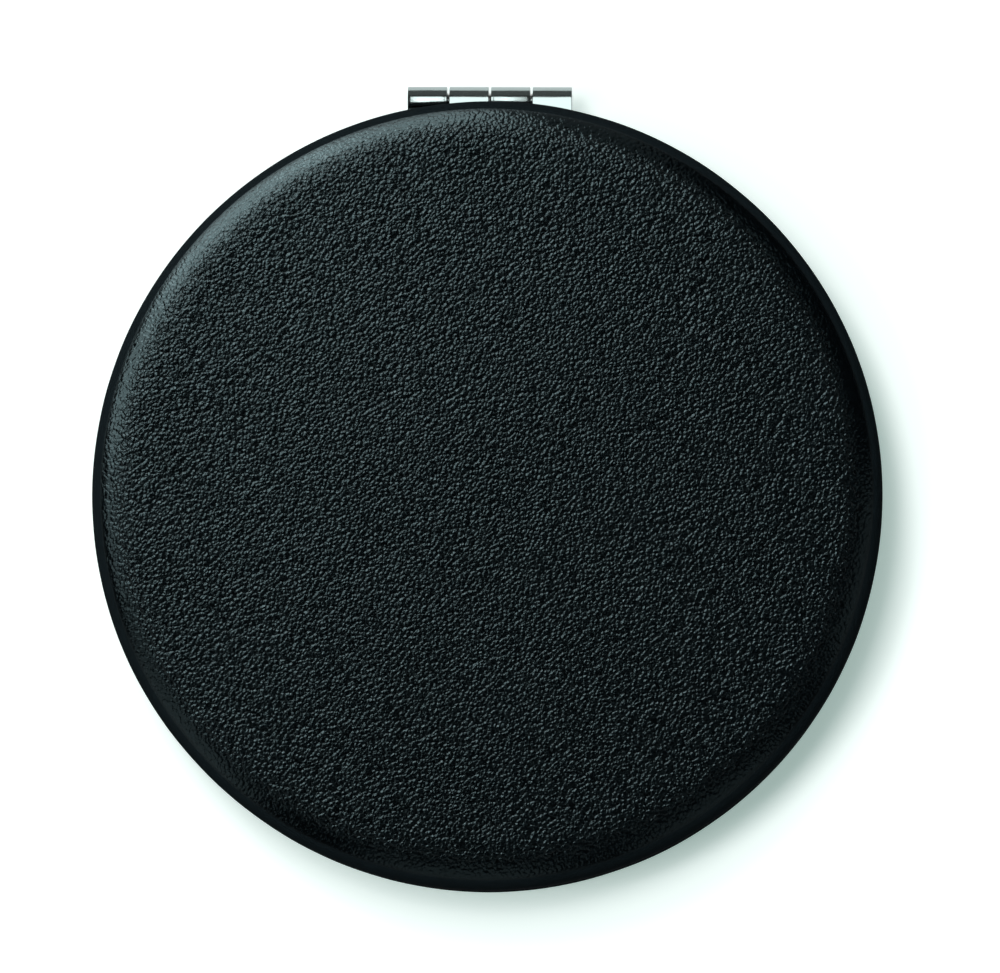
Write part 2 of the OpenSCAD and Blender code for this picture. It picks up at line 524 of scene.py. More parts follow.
class NodeMaker:
    """Adds nodes to a material's tree and joins them."""

    def __init__(self, name):
        self.material = bpy.data.materials.new(name)
        self.material.use_nodes = True
        self.tree = self.material.node_tree
        self.shader = self.tree.nodes["Principled BSDF"]
        self.place = self.add("ShaderNodeTexCoord").outputs["Object"]

    def add(self, kind, **values):
        node = self.tree.nodes.new(kind)
        for key, value in values.items():
            setattr(node, key, value)
        return node

    def join(self, source, target):
        self.tree.links.new(source, target)

    def feed(self, name, source):
        """Joins an output to one of the shader's inputs."""
        self.join(source, self.shader.inputs[name])

    def fix(self, name, value):
        """Sets one of the shader's own values."""
        self.shader.inputs[name].default_value = value

    def maths(self, operation, a, b=None, clamp=False):
        node = self.add("ShaderNodeMath", operation=operation, use_clamp=clamp)
        for socket, value in zip(node.inputs, (a, b)):
            if value is None:
                continue
            if isinstance(value, (int, float)):
                socket.default_value = value
            else:
                self.join(value, socket)
        return node.outputs[0]

    def mapped(self, pitch, turn=0.0):
        """Turns the pattern's space by an angle, then divides it by a pitch for each axis."""
        node = self.add("ShaderNodeMapping", vector_type="TEXTURE")
        node.inputs["Scale"].default_value = pitch
        node.inputs["Rotation"].default_value = (0, 0, turn)
        self.join(self.place, node.inputs["Vector"])
        return node.outputs[0]

    def noise(self, vector, scale, detail=2.0, roughness=0.5):
        node = self.add("ShaderNodeTexNoise")
        node.inputs["Scale"].default_value = scale
        node.inputs["Detail"].default_value = detail
        node.inputs["Roughness"].default_value = roughness
        self.join(vector, node.inputs["Vector"])
        return node

    def mottle(self, pitch, detail, roughness=0.5):
        """Noise of one pitch along every axis, from 0 to 1."""
        even = self.mapped((pitch, pitch, pitch))
        return self.noise(even, 1.0, detail, roughness).outputs["Fac"]

    def ranged(self, value, low, high, to_low, to_high, smooth_step=False):
        node = self.add("ShaderNodeMapRange")
        if smooth_step:
            node.interpolation_type = "SMOOTHSTEP"
        for name, number in (
            ("From Min", low),
            ("From Max", high),
            ("To Min", to_low),
            ("To Max", to_high),
        ):
            node.inputs[name].default_value = number
        self.join(value, node.inputs["Value"])
        return node.outputs["Result"]

    def blended(self, factor, dark, light):
        node = self.add("ShaderNodeMix", data_type="RGBA")
        self.join(factor, node.inputs[0])
        node.inputs[6].default_value = (*dark, 1)
        node.inputs[7].default_value = (*light, 1)
        return node.outputs[2]

    def bump(self, height, depth):
        node = self.add("ShaderNodeBump")
        node.inputs["Distance"].default_value = depth
        self.join(height, node.inputs["Height"])
        self.feed("Normal", node.outputs[0])


def pebbled(maker, finish):
    """The grain's domes, drawn out along one direction, and the fine unevenness over them."""
    pitch = finish.grain_pitch
    warp_scale, warp_reach = 0.8, 0.9
    dome_reach, dome_blend = 0.8, 0.25
    laid = maker.mapped((pitch * finish.grain_stretch, pitch, pitch), finish.grain_turn)
    warp = maker.add("ShaderNodeVectorMath", operation="SCALE")
    maker.join(maker.noise(laid, warp_scale).outputs["Color"], warp.inputs[0])
    warp.inputs["Scale"].default_value = warp_reach
    warped = maker.add("ShaderNodeVectorMath", operation="ADD")
    maker.join(laid, warped.inputs[0])
    maker.join(warp.outputs[0], warped.inputs[1])
    cells = maker.add("ShaderNodeTexVoronoi", feature="SMOOTH_F1")
    cells.inputs["Scale"].default_value = 1.0
    cells.inputs["Smoothness"].default_value = dome_blend
    maker.join(warped.outputs[0], cells.inputs["Vector"])
    reach = maker.maths("DIVIDE", cells.outputs["Distance"], dome_reach)
    domes = maker.maths("SUBTRACT", 1.0, maker.maths("MULTIPLY", reach, reach), True)
    fine = maker.noise(warped.outputs[0], finish.fine_scale, finish.fine_detail, 0.4)
    return domes, fine.outputs["Fac"]


def grained_leather(sizes, finish):
    """Black leather with fine bumps, which flatten where the leather is stretched, with painted shade
    in the valleys between the bumps.
    """
    maker = NodeMaker("grained_leather")
    domes, fine = pebbled(maker, finish)
    level = maker.add("ShaderNodeVectorMath", operation="MULTIPLY")
    maker.join(maker.place, level.inputs[0])
    level.inputs[1].default_value = (1, 1, 0)
    length = maker.add("ShaderNodeVectorMath", operation="LENGTH")
    maker.join(level.outputs[0], length.inputs[0])
    radius = length.outputs["Value"]
    edge_r = edge_radius(sizes)
    flat_r = edge_r - finish.grain_end
    full_r = flat_r - finish.grain_fade
    inner_r, outer_r = edge_r - finish.bend_band, edge_r + finish.bend_band
    kept = maker.ranged(radius, full_r, flat_r, 1.0, finish.shoulder_grain, True)
    left = maker.ranged(radius, inner_r, outer_r, 1.0, finish.bend_grain, True)
    uneven = maker.maths("ADD", domes, maker.maths("MULTIPLY", fine, finish.grain_fine))
    flattened = maker.maths("MULTIPLY", kept, left)
    maker.bump(maker.maths("MULTIPLY", uneven, flattened), finish.grain_depth)
    # Random mottle, plus painted shade: the base colour darkens in the valleys between the grain's
    # domes and lightens on their tops.
    valley_shade_and_mottle = maker.maths("MULTIPLY", maker.maths("ADD", domes, maker.mottle(0.008, 3.0)), 0.5)
    dark, light = [[share * c for c in finish.leather] for share in (0.6, 1.4)]
    maker.feed("Base Color", maker.blended(valley_shade_and_mottle, dark, light))
    low, high = [share * finish.leather_rough for share in (0.85, 1.25)]
    rough = maker.ranged(fine, 0.3, 0.7, low, high)
    soft_r = edge_r + finish.gloss_band
    gained = maker.ranged(radius, inner_r, soft_r, 0.0, finish.bend_rough, True)
    maker.feed("Roughness", maker.maths("ADD", rough, gained))
    maker.fix("Specular IOR Level", finish.leather_level)
    maker.fix("Specular Tint", (*finish.gloss, 1))
    return maker.material


def matt_leather(finish):
    """The same leather on the side wall and the turned-in edge, matt, with a lighter colour than the
    face's as a painted sheen.
    """
    maker = NodeMaker("matt_leather")
    creases = maker.mottle(0.0012, 3.0)
    # Base colour lighter than the grained face's, as a painted sheen on the matt side, mottled at
    # random.
    dark, light = [[share * c for c in finish.side_leather_painted_sheen] for share in (0.75, 1.25)]
    maker.feed("Base Color", maker.blended(creases, dark, light))
    maker.feed("Roughness", maker.ranged(creases, 0.3, 0.7, 0.8, 0.95))
    maker.bump(creases, depth=0.00003)
    maker.fix("Specular IOR Level", 0.005)
    return maker.material


def polished_material(name, colour, roughness):
    """Plated metal, faintly wavy, with fine polishing marks along it."""
    maker = NodeMaker(name)
    waves = maker.noise(maker.mapped((0.003, 0.0016, 0.0016)), 1.0, 1.0).outputs["Fac"]
    marks = maker.noise(maker.mapped((0.003, 0.00006, 0.00006)), 1.0).outputs["Fac"]
    low, high = [share * roughness for share in (0.8, 1.3)]
    maker.feed("Roughness", maker.ranged(marks, 0.3, 0.7, low, high))
    maker.feed("Base Color", maker.blended(marks, [0.95 * c for c in colour], colour))
    maker.fix("Metallic", 1.0)
    maker.bump(waves, depth=0.00004)
    return maker.material


def mirror_material():
    """Silvered glass, with the faintest haze."""
    maker = NodeMaker("silvered_glass")
    haze = maker.mottle(0.008, 4.0)
    maker.feed("Roughness", maker.ranged(haze, 0.35, 0.75, 0.005, 0.02))
    maker.feed("Base Color", maker.blended(haze, (0.86, 0.89, 0.88), (0.9, 0.92, 0.915)))
    maker.fix("Metallic", 1.0)
    return maker.material


def sheet_material(name, dark, light, roughness, metallic, pitch, depth):
    """A mottled sheet stock: tinplate, board, adhesive sheet, foam or plating."""
    maker = NodeMaker(name)
    spots = maker.mottle(pitch, 4.0, 0.6)
    maker.feed("Base Color", maker.blended(spots, dark, light))
    low, high = 0.85 * roughness, min(1, 1.15 * roughness)
    maker.feed("Roughness", maker.ranged(spots, 0.3, 0.7, low, high))
    maker.fix("Metallic", metallic)
    maker.bump(spots, depth)
    return maker.material


def skin_section(sizes):
    """Outline of the leather in a half: outer face, fold, hem and inner face."""
    outer = face_line(sizes, 0, 16, 14)
    fold = fold_line(sizes, RIM_Z, 7)
    wall_z = outer[-1][1]
    middle = [(CASE_R, wall_z + (RIM_Z - wall_z) * i / 3, 1, 0) for i in (1, 2)]
    tray_in_r = CASE_R - sizes.leather_t - sizes.tray_t
    hem_r = tray_in_r - sizes.leather_t
    hem_z = FLOOR_Z + sizes.hem_gap
    hem = [(hem_r, RIM_Z + (hem_z - RIM_Z) * i / 4, -1, 0) for i in (1, 2, 3)]
    end = [(hem_r, hem_z, 0, 0), (tray_in_r, hem_z, 0, 0), (tray_in_r, RIM_Z, 0, 0)]
    inner = [(r, z, 0, 0) for r, z, _, _ in reversed(face_line(sizes, sizes.leather_t, 8, 6))]
    back = [(CASE_R - sizes.leather_t, RIM_Z, 0, 0)]
    return outer + middle + fold + hem + end + back + inner


def wander(sizes, half, around, r, z):
    """How far the padded leather lies in or out at a point: a broad swell and a finer one."""
    broad_r, broad_z, finer, finer_share = 0.009, 0.004, 2.7, 0.4
    apart = Vector((0, 0, 7 * HALVES.index(half)))
    spot = around * (r / broad_r) + apart + Vector((0, 0, z / broad_z))
    swell = noise.noise(spot) + finer_share * noise.noise(spot * finer)
    return sizes.unevenness * swell


def gathered(sizes, half, around, angle):
    """How deep the gathers of the turned-in leather are at an angle, from 0 to about 1."""
    apart = Vector((0, 0, HALVES.index(half)))
    drift = 2.2 * noise.noise(around * 3 + apart * 5)
    fold = (0.5 + 0.5 * math.sin(sizes.pleats * angle + drift)) ** 2
    return fold * (0.6 + 0.8 * noise.noise(around * 9 + apart * 3))


def leather_shift(sizes, half):
    """How the padding and the gathers move the leather's points."""
    tray_in_r = CASE_R - sizes.leather_t - sizes.tray_t
    crown_r = edge_radius(sizes) - bends(sizes)[1] * math.sin(sizes.shoulder_a)
    crown = sizes.crown if half == "lid" else 0

    def shift(point, angle):
        r, z, normal_r, normal_z = point
        if not (normal_r or normal_z):
            return r, z
        around = Vector((math.cos(angle), math.sin(angle), 0))
        if z < RIM_Z:
            out = wander(sizes, half, around, r, z)
            if normal_z == -1 and r < crown_r:
                out += crown * (1 - (r / crown_r) ** 2)
            r, z = r + out * normal_r, z + out * normal_z
            return r, z if half == "lid" else max(z, 0)
        reach = min(1, max(0, (CASE_R - r) / (CASE_R - tray_in_r)) ** 2)
        out = -sizes.pleat_depth * reach * gathered(sizes, half, around, angle)
        return r + out * normal_r, z + out * normal_z

    return shift


def hinge_cutters(sizes):
    """The slot that a leaf leaves the case through, and the barrel's recess."""
    slot_w = HINGE_W + 2 * sizes.slot_gap
    low_z = AXIS.z - KNUCKLE_R - sizes.slot_gap
    near_y = CASE_R - 3 * sizes.leather_t - sizes.tray_t
    far_y = AXIS.y + KNUCKLE_R
    corners = [(near_y, low_z), (far_y, low_z), (far_y, CASE_H), (near_y, CASE_H)]
    barrel_r = KNUCKLE_R + sizes.barrel_gap
    end = slot_w / 2
    rod = [(0, -end), (barrel_r, -end), (barrel_r, end), (0, end)]
    return across("slot", corners, slot_w), along_axis(revolved("barrel", rod, 96))


class COMPACT_OT_leather(Operator):
    """Wraps both halves in leather, turned in round the rim and cut away at the hinge"""

    bl_idname = "compact.leather"
    bl_label = "Leather covers"

    def execute(self, context):
        sizes = context.scene.compact_sizes
        finish = context.scene.compact_finish
        grained, matt = grained_leather(sizes, finish), matt_leather(finish)
        steps = 576
        for half in HALVES:
            shift = leather_shift(sizes, half)
            skin = linked(f"{half}_leather", revolved("skin", skin_section(sizes), steps, shift))
            carved(skin, hinge_cutters(sizes))
            if half == "lid":
                turned_over(skin.data)
            smooth(skin, 40)
            finished(skin, half, grained, "leather", f"{half}_cover")
            skin.data.materials.append(matt)
            # Faces on the steep side and near the parting take the matt leather, whose lighter colour
            # is a painted sheen.
            turned_down = math.cos(finish.painted_sheen_slope)
            for face in skin.data.polygons:
                inside = abs(face.center.z - AXIS.z) < finish.painted_sheen_band
                face.material_index = int(inside or abs(face.normal.z) < turned_down)
        return {"FINISHED"}


FOAM = {
    "dark": (0.22, 0.22, 0.22),
    "light": (0.36, 0.36, 0.35),
    "roughness": 0.95,
    "metallic": 0.0,
    "pitch": 0.00025,
    "depth": 0.00008,
}


class COMPACT_OT_foam(Operator):
    """Lays a foam sheet between the leather and the tray of each half"""

    bl_idname = "compact.foam"
    bl_label = "Foam padding"

    def execute(self, context):
        sizes = context.scene.compact_sizes
        material = sheet_material("grey_foam", **FOAM)
        for half in HALVES:
            face = face_line(sizes, sizes.leather_t, 24, 12)
            section = [point for point in face if point[1] < PAD_HIGH.z - SAME_PLACE]
            steps = 24
            section += [(PAD_HIGH.x * (1 - i / steps), PAD_HIGH.z) for i in range(steps + 1)]
            pad = linked(f"{half}_foam", revolved("foam", section, 192))
            if half == "lid":
                turned_over(pad.data)
            smooth(pad, 40)
            finished(pad, half, material, "foam", f"{half}_padding")
        return {"FINISHED"}


def leaf_path(sizes):
    """Middle line of a leaf's metal as (y, z) points: flat, cranked up, and rolled round
    the pin. Returns the flat stretch up to the knuckles and the rest."""
    half_t = sizes.leaf_t / 2
    low_z = LEAF_LOW.z + half_t
    high_z = AXIS.z - KNUCKLE_R + half_t
    climb = high_z - low_z
    lead = half_t * math.tan(math.pi / 8)
    crank_y = MIRROR_R + sizes.crank_gap
    plate = [
        (LEAF_LOW.y, low_z),
        (crank_y - lead, low_z),
        (crank_y + climb - lead, high_z),
        (AXIS.y - KNUCKLE_R - sizes.barrel_gap, high_z),
    ]
    roll_r = KNUCKLE_R - half_t
    sweep, steps = math.radians(300), 60
    roll = [
        (
            AXIS.y + roll_r * math.sin(sweep * i / steps),
            AXIS.z - roll_r * math.cos(sweep * i / steps),
        )
        for i in range(steps + 1)
    ]
    return plate, roll


def leaf_blank(sizes, first):
    """Middle surface of a leaf that carries every second knuckle from the one given."""
    plate, roll = leaf_path(sizes)
    line = plate + roll
    pitch = (HINGE_W + sizes.knuckle_gap) / sizes.knuckles
    width = pitch - sizes.knuckle_gap
    spans = [
        (i * pitch - HINGE_W / 2, i * pitch - HINGE_W / 2 + width)
        for i in range(first, sizes.knuckles, 2)
    ]
    strip_ratio = 1.6
    edge = sizes.knuckle_edge * strip_ratio
    ends = [x for low, high in spans for x in (low, low + edge, high - edge, high)]
    columns = sorted([-HINGE_W / 2, edge - HINGE_W / 2, HINGE_W / 2 - edge, HINGE_W / 2, *ends])
    columns = [x for k, x in enumerate(columns) if not k or x - columns[k - 1] > SAME_PLACE]
    vertices = [(x, y, z) for y, z in line for x in columns]
    faces = []
    for row in range(len(line) - 1):
        for column in range(len(columns) - 1):
            middle = (columns[column] + columns[column + 1]) / 2
            own = any(low < middle < high for low, high in spans)
            if row < len(plate) - 1 or own:
                corner = row * len(columns) + column
                faces.append(
                    (corner, corner + 1, corner + 1 + len(columns), corner + len(columns))
                )
    mesh = bpy.data.meshes.new("leaf")
    mesh.from_pydata(vertices, [], faces)
    mesh.update()
    return mesh


class COMPACT_OT_hinge(Operator):
    """Stamps, cranks and rolls the two hinge leaves, and sets the pin through them"""

    bl_idname = "compact.hinge"
    bl_label = "Hinge leaves and pin"

    def execute(self, context):
        sizes = context.scene.compact_sizes
        finish = context.scene.compact_finish
        plated = polished_material("plated_hinge", finish.metal, roughness=0.17)
        steel = polished_material("turned_steel", (0.6, 0.62, 0.61), roughness=0.22)
        for first, half in enumerate(HALVES):
            leaf = linked(f"{half}_leaf", leaf_blank(sizes, first))
            thicken = leaf.modifiers.new("thicken", "SOLIDIFY")
            thicken.thickness = sizes.leaf_t
            thicken.offset = 0
            thicken.use_even_offset = True
            settled(leaf)
            carved(leaf, [rivet_cutter(sizes, side) for side in (-1, 1)])
            soften = leaf.modifiers.new("soften", "BEVEL")
            soften.width = sizes.knuckle_edge
            soften.segments = 3
            soften.limit_method = "ANGLE"
            soften.angle_limit = math.radians(50)
            settled(leaf)
            if half == "lid":
                turned_over(leaf.data)
            smooth(leaf, 30)
            finished(leaf, half, plated, "hinge_metal", f"{half}_hinge_leaf")
        pin_r = (PIN_HIGH.z - PIN_LOW.z) / 2
        dome_share, dome_steps = 0.2, 8
        end, dome = PIN_HIGH.x, pin_r * dome_share
        section = [(0, -end)]
        for i in range(1, dome_steps + 1):
            a = math.pi / 2 * i / dome_steps
            section.append((pin_r * math.sin(a), dome - end - dome * math.cos(a)))
        section += [(r, -x) for r, x in reversed(section)]
        pin = linked("hinge_rod", along_axis(revolved("rod", section, 96)))
        smooth(pin, 40)
        finished(pin, "base", steel, "pin_steel", "hinge_pin")
        return {"FINISHED"}


def rivet_section(sizes):
    """Half outline of a rivet from its lower head to its upper one."""
    shank, head = sizes.rivet_d / 2, sizes.rivet_head_d / 2
    low, high = RIVET_LOW.z, RIVET_HIGH.z
    depth = sizes.rivet_head_h
    return [
        (0, low),
        (head, low),
        (shank, low + depth),
        (shank, high - depth),
        (head, high),
        (0, high),
    ]


def rivet_place(sizes, side):
    reach = RIVET_HIGH.x - sizes.rivet_head_d / 2
    return Vector((side * reach, (RIVET_LOW.y + RIVET_HIGH.y) / 2, 0))


def rivet_cutter(sizes, side):
    mesh = revolved("rivet_hole", rivet_section(sizes), 48)
    mesh.transform(Matrix.Translation(rivet_place(sizes, side)))
    return mesh


def add_inputs(tree, inputs):
    tree.interface.new_socket("Geometry", in_out="INPUT", socket_type="NodeSocketGeometry")
    for name, kind, value in inputs:
        socket = tree.interface.new_socket(name, in_out="INPUT", socket_type=kind)
        if value is not None:
            socket.default_value = value
    tree.interface.new_socket("Geometry", in_out="OUTPUT", socket_type="NodeSocketGeometry")


def grown(piece, tree, values):
    """Runs a node tree on a piece and keeps the result as a plain mesh."""
    modifier = piece.modifiers.new(tree.name, "NODES")
    modifier.node_group = tree
    for item in tree.interface.items_tree:
        if item.in_out == "INPUT" and item.name in values:
            modifier[item.identifier] = values[item.name]
    settled(piece)


def row_tree():
    """Repeats the piece's own mesh along a straight line."""
    tree = bpy.data.node_groups.new("rivet_row", "GeometryNodeTree")
    add_inputs(
        tree,
        (
            ("Count", "NodeSocketInt", 2),
            ("Start", "NodeSocketVector", None),
            ("Step", "NodeSocketVector", None),
            ("Finish", "NodeSocketMaterial", None),
        ),
    )
    nodes, links = tree.nodes, tree.links
    given = nodes.new("NodeGroupInput")
    line = nodes.new("GeometryNodeMeshLine")
    spread = nodes.new("GeometryNodeInstanceOnPoints")
    real = nodes.new("GeometryNodeRealizeInstances")
    paint = nodes.new("GeometryNodeSetMaterial")
    result = nodes.new("NodeGroupOutput")
    links.new(given.outputs["Count"], line.inputs["Count"])
    links.new(given.outputs["Start"], line.inputs["Start Location"])
    links.new(given.outputs["Step"], line.inputs["Offset"])
    links.new(line.outputs[0], spread.inputs["Points"])
    links.new(given.outputs["Geometry"], spread.inputs["Instance"])
    links.new(spread.outputs[0], real.inputs[0])
    links.new(real.outputs[0], paint.inputs[0])
    links.new(given.outputs["Finish"], paint.inputs["Material"])
    links.new(paint.outputs[0], result.inputs[0])
    return tree


class COMPACT_OT_rivets(Operator):
    """Sets the flush rivets that hold each leaf to its board and tray"""

    bl_idname = "compact.rivets"
    bl_label = "Rivets"

    def execute(self, context):
        sizes = context.scene.compact_sizes
        material = polished_material("rivet_steel", (0.58, 0.59, 0.59), roughness=0.28)
        tree = row_tree()
        for half in HALVES:
            rivets = linked(f"{half}_rivet_pair", revolved("rivet", rivet_section(sizes), 48))
            smooth(rivets, 30)
            start = rivet_place(sizes, -1)
            step = rivet_place(sizes, 1) - start
            values = {"Count": 2, "Start": start, "Step": step, "Finish": material}
            grown(rivets, tree, values)
            if half == "lid":
                turned_over(rivets.data)
            finished(rivets, half, material, "pin_steel", f"{half}_rivets")
        return {"FINISHED"}


def ring_tree():
    """Sweeps the piece's own outline, drawn in X and Y, round a circle."""
    tree = bpy.data.node_groups.new("swept_ring", "GeometryNodeTree")
    add_inputs(
        tree,
        (
            ("Radius", "NodeSocketFloat", 0.03),
            ("Steps", "NodeSocketInt", 256),
            ("Finish", "NodeSocketMaterial", None),
        ),
    )
    nodes, links = tree.nodes, tree.links
    given = nodes.new("NodeGroupInput")
    circle = nodes.new("GeometryNodeCurvePrimitiveCircle")
    upright = nodes.new("GeometryNodeSetCurveNormal")
    outline = nodes.new("GeometryNodeMeshToCurve")
    sweep = nodes.new("GeometryNodeCurveToMesh")
    real = nodes.new("GeometryNodeRealizeInstances")
    paint = nodes.new("GeometryNodeSetMaterial")
    result = nodes.new("NodeGroupOutput")
    circle.mode = "RADIUS"
    upright.mode = "Z_UP"
    links.new(given.outputs["Radius"], circle.inputs["Radius"])
    links.new(given.outputs["Steps"], circle.inputs["Resolution"])
    links.new(circle.outputs[0], upright.inputs[0])
    links.new(given.outputs["Geometry"], outline.inputs[0])
    links.new(upright.outputs[0], sweep.inputs["Curve"])
    links.new(outline.outputs[0], sweep.inputs["Profile Curve"])
    links.new(sweep.outputs[0], real.inputs[0])
    links.new(real.outputs[0], paint.inputs[0])
    links.new(given.outputs["Finish"], paint.inputs["Material"])
    links.new(paint.outputs[0], result.inputs[0])
    return tree


def ring_outline(sizes):
    """Cross-section of a frame ring as (r, z): lip over the mirror, bend and skirt."""
    face_z, foot_z = RING_HIGH.z, RING_LOW.z
    lip_z = face_z - sizes.ring_t
    lip_r = MIRROR_R - sizes.lip_w
    edge_share = 0.45
    edge = sizes.ring_t * edge_share
    skirt_r = RING_R - sizes.ring_t
    points = []
    for centre_r, centre_z, radius, start, end, steps in (
        (lip_r + edge, lip_z + edge, edge, -90, -180, 5),
        (lip_r + edge, face_z - edge, edge, 180, 90, 5),
        (skirt_r, lip_z, sizes.ring_t, 90, 0, 8),
    ):
        for i in range(steps + 1):
            a = math.radians(start + (end - start) * i / steps)
            points.append((centre_r + radius * math.cos(a), centre_z + radius * math.sin(a)))
    return points + [(RING_R, foot_z), (skirt_r, foot_z), (skirt_r, lip_z)]


class COMPACT_OT_rings(Operator):
    """Sweeps the polished ring that frames each mirror"""

    bl_idname = "compact.rings"
    bl_label = "Frame rings"

    def execute(self, context):
        sizes = context.scene.compact_sizes
        finish = context.scene.compact_finish
        material = polished_material("polished_ring", finish.metal, roughness=0.08)
        tree = ring_tree()
        for half in HALVES:
            outline = ring_outline(sizes)
            mesh = bpy.data.meshes.new("ring")
            loop = [(i, (i + 1) % len(outline)) for i in range(len(outline))]
            mesh.from_pydata([(r - RING_R, -z, 0) for r, z in outline], loop, [])
            ring = linked(f"{half}_ring", mesh)
            grown(ring, tree, {"Radius": RING_R, "Steps": 288, "Finish": material})
            outward(ring.data)
            if half == "lid":
                turned_over(ring.data)
            smooth(ring, 35)
            finished(ring, half, material, "polished_ring", f"{half}_frame_ring")
        return {"FINISHED"}


class COMPACT_OT_mirrors(Operator):
    """Grinds the plain mirror and the hollow magnifying one"""

    bl_idname = "compact.mirrors"
    bl_label = "Mirrors"

    def execute(self, context):
        sizes = context.scene.compact_sizes
        material = mirror_material()
        back_z, face_z = GLASS_LOW.z, GLASS_HIGH.z
        bevel_share, steps = 0.12, 32
        bevel = (face_z - back_z) * bevel_share
        curve_r = (MIRROR_R**2 + sizes.mirror_sag**2) / (2 * sizes.mirror_sag)
        for half in HALVES:
            section = [(0, back_z), (MIRROR_R, back_z), (MIRROR_R, face_z - bevel)]
            rim_r = MIRROR_R - bevel
            for i in range(steps + 1):
                r = rim_r * (1 - i / steps)
                drop = curve_r - math.sqrt(curve_r**2 - r**2)
                hollow = sizes.mirror_sag - drop if half == "base" else 0
                section.append((r, face_z - hollow))
            glass = linked(f"{half}_glass", revolved("glass", section, 192))
            if half == "lid":
                turned_over(glass.data)
            smooth(glass, 20)
            finished(glass, half, material, "mirror_glass", f"{half}_mirror")
        return {"FINISHED"}


# Part, material, dark and light colour, roughness, metallic, pitch and depth of the mottle.
STOCKS = (
    ("tray", "tinplate", (0.5, 0.51, 0.52), (0.68, 0.69, 0.69), 0.32, 1.0, 0.004, 0.000004),
    ("board", "grey_board", (0.3, 0.25, 0.19), (0.44, 0.38, 0.3), 0.9, 0.0, 0.00045, 0.00004),
    ("mirror_tape", "adhesive_sheet", (0.7, 0.7, 0.67), (0.82, 0.82, 0.8), 0.6, 0.0, 0.0003, 0.00001),
    ("magnet", "magnet_plating", (0.48, 0.49, 0.5), (0.6, 0.61, 0.61), 0.25, 1.0, 0.001, 0.000003),
)


class COMPACT_OT_inner_parts(Operator):
    """Finishes the trays, boards, adhesive sheets and magnets"""

    bl_idname = "compact.inner_parts"
    bl_label = "Inner parts"

    def execute(self, context):
        for part, *stock in STOCKS:
            material = sheet_material(*stock)
            for half in HALVES:
                for slot in frame["nodes"][f"{half}_{part}"].material_slots:
                    slot.link = "OBJECT"
                    slot.material = material
        return {"FINISHED"}


# Name, azimuth, elevation and brightness. Azimuth runs from +X towards +Y, in degrees.
GLOSS_LAMPS = (
    ("softbox_a", 105, 15, 10.5),
    ("softbox_b", 130, 15, 13.0),
    ("softbox_c", 105, 28, 8.5),
    ("softbox_d", 130, 28, 10.0),
    ("softbox_e", 155, 28, 12.5),
    ("softbox_f", 178, 34, 5.5),
    ("softbox_g", 138, 45, 2.0),
    ("low_right", 80, 15, 1.1),
    ("upper_right", 48, 46, 1.7),
    ("low_left", 215, 18, 2.1),
    ("low_front", 265, 18, 1.3),
    ("low_corner", 308, 18, 1.0),
    ("low_side", 350, 16, 1.0),
)
SHADOW_LAMPS = (
    ("shadow_a", 120, 62, 13.0),
    ("shadow_b", 120, 78, 9.9),
    ("shadow_c", 160, 78, 13.5),
    ("shadow_d", 200, 62, 10.8),
    ("shadow_e", 70, 45, 2.2),
)
GLOSS_AWAY, GLOSS_SIZE = 0.14, 0.07
SHADOW_AWAY, SHADOW_SIZE = 0.8, 0.2

# Name, leaf, place along the hinge, width, and share of the strips' brightness.
HINGE_STRIPS = (
    ("lid_leaf_strip", "lid_leaf", 0.0, 0.035, 1.0),
    ("base_leaf_strip_a", "base_leaf", -0.0062, 0.0036, 1.7),
    ("base_leaf_strip_b", "base_leaf", 0.0006, 0.0028, 1.7),
)
STRIP_AWAY, STRIP_DEPTH = 0.03, 0.026

# Leant a hair from straight above, which settles how a lamp is turned.
ALMOST_ABOVE = 89.9

ROOM_SIDE = 1.7
WALL_SHARE = 0.85
FLOOR_REACH = 3.0

# The photo's size, and the case's disc in it, in pixels.
PHOTO_W, PHOTO_H = 1000, 973
DISC_X, DISC_Y, DISC_R = 487.9, 497.2, 394.1


class CompactStudio(PropertyGroup):
    camera_away: FloatProperty(
        name="Camera distance",
        description="Distance from the case to the camera",
        default=0.9,
        unit="LENGTH",
    )
    camera_lean: FloatProperty(
        name="Camera lean",
        description="Angle between the camera's view and straight down",
        default=math.radians(4.1),
        subtype="ANGLE",
    )
    camera_side: FloatProperty(
        name="Camera side",
        description="Direction in which the camera leans, from the front to the right",
        default=math.radians(20),
        subtype="ANGLE",
    )
    camera_roll: FloatProperty(
        name="Camera roll",
        description="Turn of the picture",
        default=math.radians(0.3),
        subtype="ANGLE",
    )
    floor: FloatVectorProperty(
        name="Floor",
        description="Colour of the floor",
        default=(0.9, 0.9, 0.9),
        subtype="COLOR",
        size=3,
    )
    floor_glow: FloatVectorProperty(
        name="Floor glow",
        description="Light that the floor adds for the camera, seen alone in deep shadow",
        default=(0.28, 0.385, 0.355),
        subtype="COLOR",
        size=3,
    )
    gloss: FloatProperty(
        name="Gloss light",
        description="Brightness of the softboxes round the case, seen in gloss alone",
        default=1.0,
    )
    fill: FloatProperty(
        name="Shadow light",
        description="Brightness of the lamps that cast the case's shadow",
        default=1.0,
    )
    ceiling: FloatProperty(
        name="Ceiling light",
        description="Brightness of the wide ceiling panel that fills the shadow",
        default=0.18,
    )
    strip: FloatProperty(
        name="Hinge light",
        description="Brightness of the strip over the hinge, seen in gloss alone",
        default=1.9,
    )
    overhead: FloatProperty(
        name="Overhead light",
        description="Brightness of the dim panel over the upper left, seen in gloss alone",
        default=0.35,
    )
    haze: FloatProperty(
        name="Hinge haze",
        description="Brightness of the dim panel behind the hinge, seen in gloss alone",
        default=0.07,
    )
    surround: FloatProperty(
        name="Surround",
        description="Brightness of the world outside the camera's own view",
        default=0.03,
    )
    panel: FloatProperty(
        name="Mirror panel",
        description="Brightness of the panels that the mirrors show when the case is open",
        default=0.5,
    )


